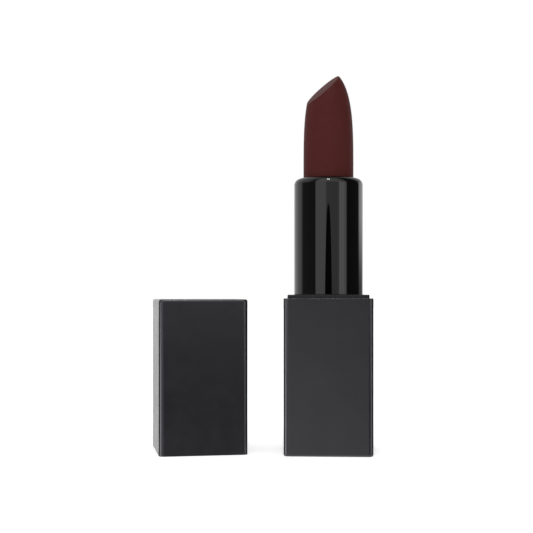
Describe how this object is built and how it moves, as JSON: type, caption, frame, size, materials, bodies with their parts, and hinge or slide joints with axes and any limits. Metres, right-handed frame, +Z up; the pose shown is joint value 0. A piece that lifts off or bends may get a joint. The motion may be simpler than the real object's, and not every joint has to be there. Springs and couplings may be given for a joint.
{
  "type": "lipstick case",
  "caption": "Square charcoal lipstick case, open, with its glossy tube and slant-cut bullet twisted up from the base and its cap standing beside it.",
  "frame": {"origin": "centre of the base's flat underside, on the twist axis, in the plane that the base and the standing cap rest on", "axes": "+Z up along the twist axis; -X towards the standing cap, which the slanted cut of the bullet faces with a turn towards the front; -Y is the front"},
  "size_m": [0.0554, 0.0252, 0.0926],
  "materials": {
    "case_lacquer": "satin charcoal lacquer on drawn aluminium",
    "black_moulding": "black moulded ABS, semi-gloss",
    "tube_gloss": "high-gloss black lacquer on aluminium",
    "lipstick_wax": "moulded brownish red lipstick wax, soft satin",
    "mechanism_acetal": "natural moulded acetal",
    "silicone": "dark silicone rubber",
    "weight_steel": "turned steel slug",
    "magnet_nickel": "nickel plated",
    "label_paper": "blank matt paper sticker"
  },
  "bodies": {
    "base": {"base_shell": "case_lacquer", "base_insert": "black_moulding", "base_weight": "weight_steel", "shade_label": "label_paper", "inner_fork": "mechanism_acetal", "brake_ring": "silicone", "base_magnet_1": "magnet_nickel", "base_magnet_2": "magnet_nickel", "base_magnet_3": "magnet_nickel", "base_magnet_4": "magnet_nickel"},
    "tube": {"tube_shell": "tube_gloss", "cam_sleeve": "mechanism_acetal"},
    "carrier": {"carrier": "mechanism_acetal", "bullet": "lipstick_wax"},
    "cap": {"cap_shell": "case_lacquer", "cap_liner": "black_moulding", "cap_magnet_1": "magnet_nickel", "cap_magnet_2": "magnet_nickel", "cap_magnet_3": "magnet_nickel", "cap_magnet_4": "magnet_nickel"}
  },
  "joints": [
    {"name": "tube_twist", "type": "hinge", "parent": "base", "child": "tube", "pos_m": [0, 0, 0.05], "axis": [0, 0, 1], "range_deg": [0, 488.7]},
    {"name": "carrier_lift", "type": "slide", "parent": "base", "child": "carrier", "axis": [0, 0, 1], "range_m": [-0.02715, 0]},
    {"name": "cap_lift", "type": "slide", "parent": "base", "child": "cap", "axis": [0, 0, 1], "range_m": [0, 0.1]}
  ],
  "couplings": [
    {"joint": "carrier_lift", "follows": "tube_twist", "m_per_rad": -0.0031831}
  ]
}
